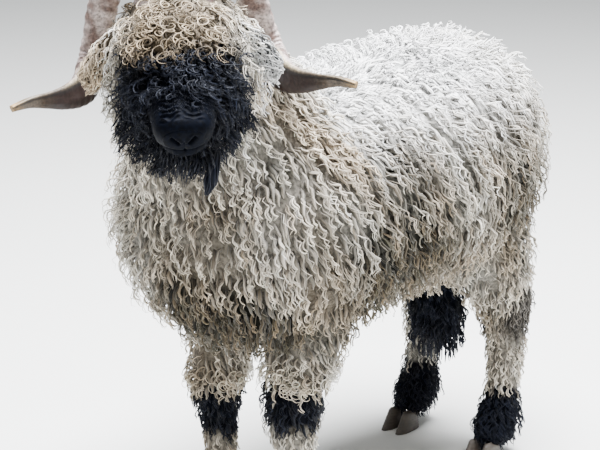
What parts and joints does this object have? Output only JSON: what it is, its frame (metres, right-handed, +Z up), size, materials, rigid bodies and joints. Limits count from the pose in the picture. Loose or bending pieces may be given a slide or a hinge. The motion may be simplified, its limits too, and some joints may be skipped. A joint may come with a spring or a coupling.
{
  "type": "valais blacknose sheep",
  "caption": "Still, life-size Valais Blacknose ram standing square with its head turned to its left: long clumped fleece, black woolly face, open spiral horns and cloven hooves.",
  "frame": {"origin": "on the floor below the middle of the animal's box, soles at z = 0", "axes": "+Z up, the body faces -Y and its left side is towards +X, so +Y runs from chest to rump"},
  "size_m": [0.5476, 1.2056, 1.055],
  "materials": {
    "fleece": "long cream wool in wavy locks",
    "black_wool": "short black curly wool and bare black muzzle skin",
    "horn": "ridged brown horn, semi-matte",
    "eye": "wet, dark brown",
    "hoof": "worn dark hoof horn"
  },
  "bodies": {
    "root": {"torso": "fleece", "neck": "fleece", "head": "black_wool", "tail": "fleece", "scrotum": "black_wool", "foreleg_left": "fleece", "foreleg_right": "fleece", "hindleg_left": "fleece", "hindleg_right": "fleece", "ear_left": "black_wool", "ear_right": "black_wool", "eye_left": "eye", "eye_right": "eye", "horn_left": "horn", "horn_right": "horn", "forehoof_left_outer": "hoof", "forehoof_left_inner": "hoof", "forehoof_right_outer": "hoof", "forehoof_right_inner": "hoof", "hindhoof_left_outer": "hoof", "hindhoof_left_inner": "hoof", "hindhoof_right_outer": "hoof", "hindhoof_right_inner": "hoof"}
  },
  "joints": []
}
